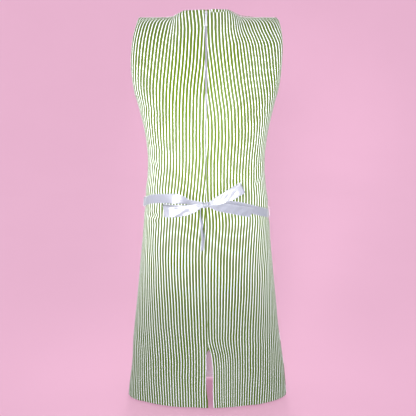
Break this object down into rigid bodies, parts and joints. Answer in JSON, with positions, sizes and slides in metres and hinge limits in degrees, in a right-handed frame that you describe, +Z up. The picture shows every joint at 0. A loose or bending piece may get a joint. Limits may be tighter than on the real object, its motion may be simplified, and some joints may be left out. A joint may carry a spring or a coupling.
{
  "type": "sleeveless sheath dress",
  "caption": "Striped sleeveless sheath dress with a centre back zip, a back vent and a satin waist ribbon tied in a bow at the back.",
  "frame": {"origin": "shoulder seat: centre plane, level with the shoulder line, where a hanger or form carries the dress", "axes": "+Z up along the dress, -Y out of its back (the side with the zip and the bow), +X towards the wearer's right"},
  "size_m": [0.468, 0.2294, 1.0532],
  "materials": {
    "striped_cloth": "green and white vertical stripes in a lightly puckered cotton with a soft sheen",
    "lining": "plain pale pink lining, smooth",
    "satin_ribbon": "white satin with a bright sheen",
    "zip_tape": "woven tape",
    "zip_coil": "nylon coil, satin",
    "zip_metal": "white enamel on zinc, glossy",
    "thread": "white thread",
    "label": "blank woven label"
  },
  "bodies": {
    "dress": {"back_panel_left": "striped_cloth", "back_panel_right": "striped_cloth", "front_panel": "striped_cloth", "lining_back_left": "lining", "lining_back_right": "lining", "lining_front": "lining", "neck_facing_back_left": "striped_cloth", "neck_facing_back_right": "striped_cloth", "neck_facing_front": "striped_cloth", "armhole_facing_left": "striped_cloth", "armhole_facing_right": "striped_cloth", "zip_tape_left": "zip_tape", "zip_tape_right": "zip_tape", "zip_teeth_left": "zip_coil", "zip_teeth_right": "zip_coil", "zip_top_stops": "zip_metal", "zip_bottom_stop": "zip_metal", "ribbon_waistband": "satin_ribbon", "ribbon_carrier_left": "thread", "ribbon_carrier_right": "thread", "bow_knot": "satin_ribbon", "bow_loop_left": "satin_ribbon", "bow_loop_right": "satin_ribbon", "bow_tail_side": "satin_ribbon", "neck_label": "label", "care_label": "label"},
    "slider": {"zip_slider": "zip_metal"},
    "pull": {"zip_pull": "zip_metal"},
    "tail": {"bow_tail_hanging": "satin_ribbon"}
  },
  "joints": [
    {"name": "zip_slide", "type": "slide", "parent": "dress", "child": "slider", "axis": [0, -0.059, -0.9983], "range_m": [0, 0.362]},
    {"name": "pull_hinge", "type": "hinge", "parent": "slider", "child": "pull", "pos_m": [0, -0.06637, 0.00914], "axis": [-1, 0, 0], "range_deg": [0, 165]},
    {"name": "tail_swing", "type": "hinge", "parent": "dress", "child": "tail", "pos_m": [-0.013, -0.09597, -0.417], "axis": [-1, 0, 0], "range_deg": [0, 70]}
  ]
}
